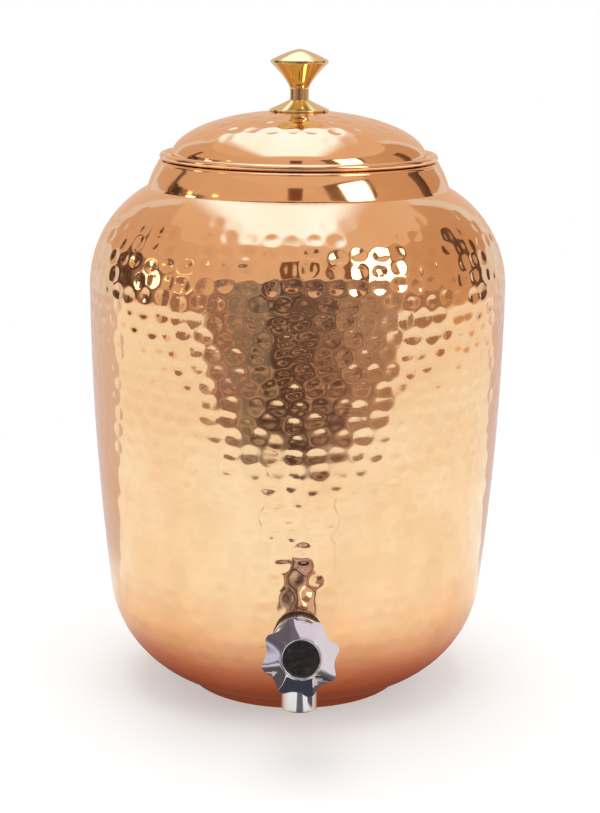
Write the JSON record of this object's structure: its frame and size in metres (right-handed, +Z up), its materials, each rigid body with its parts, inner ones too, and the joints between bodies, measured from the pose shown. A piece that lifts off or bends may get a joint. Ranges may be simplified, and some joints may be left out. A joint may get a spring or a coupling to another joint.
{
  "type": "water dispenser",
  "caption": "Hammered copper water dispenser: a round-shouldered pot with a lift-off domed lid, a brass lid knob and a chrome screw-down tap low on the front.",
  "frame": {"origin": "centre of the flat base, on the surface that the pot stands on", "axes": "+Z up along the pot's axis, -Y out towards the tap, +X to the right seen from the tap's side"},
  "size_m": [0.222, 0.2736, 0.3436],
  "materials": {
    "hammered_copper": "hammered and polished",
    "polished_copper": "polished",
    "polished_brass": "turned and polished",
    "plain_brass": "machined",
    "chrome_plate": "plated, mirror",
    "plain_steel": "zinc plated",
    "black_rubber": "matt",
    "red_fibre": "vulcanised fibre",
    "black_plastic": "gloss black"
  },
  "bodies": {
    "vessel": {"vessel_body": "hammered_copper", "vessel_shoulder": "polished_copper", "neck_band": "polished_copper", "base_pan": "polished_copper", "tap_body": "chrome_plate", "tap_outer_gasket": "black_rubber", "tap_inner_gasket": "black_rubber", "tap_backing_washer": "plain_steel", "tap_lock_nut": "plain_brass", "tap_bonnet": "chrome_plate", "bonnet_gasket": "red_fibre"},
    "lid": {"lid_dome": "hammered_copper", "lid_collar": "polished_copper", "knob_rosette": "polished_brass", "lid_knob": "polished_brass", "lid_screw": "plain_steel", "lid_screw_washer": "plain_steel"},
    "jumper": {"jumper_valve": "plain_brass", "valve_washer": "black_rubber", "valve_washer_screw": "plain_brass"},
    "handle": {"spindle": "plain_brass", "spindle_o_ring": "black_rubber", "tap_knob": "chrome_plate", "knob_screw": "plain_steel", "knob_bezel": "chrome_plate", "knob_badge": "black_plastic"}
  },
  "joints": [
    {"name": "lid_lift", "type": "slide", "parent": "vessel", "child": "lid", "axis": [0, 0, 1], "range_m": [0, 0.12]},
    {"name": "jumper_rise", "type": "slide", "parent": "vessel", "child": "jumper", "axis": [0, -0.9511, 0.309], "range_m": [0, 0.003]},
    {"name": "handle_turn", "type": "hinge", "parent": "jumper", "child": "handle", "pos_m": [0, -0.11322, 0.051], "axis": [0, -0.9511, 0.309], "range_deg": [0, 720]}
  ],
  "couplings": [
    {"joint": "jumper_rise", "follows": "handle_turn", "m_per_rad": 0.0002387}
  ]
}
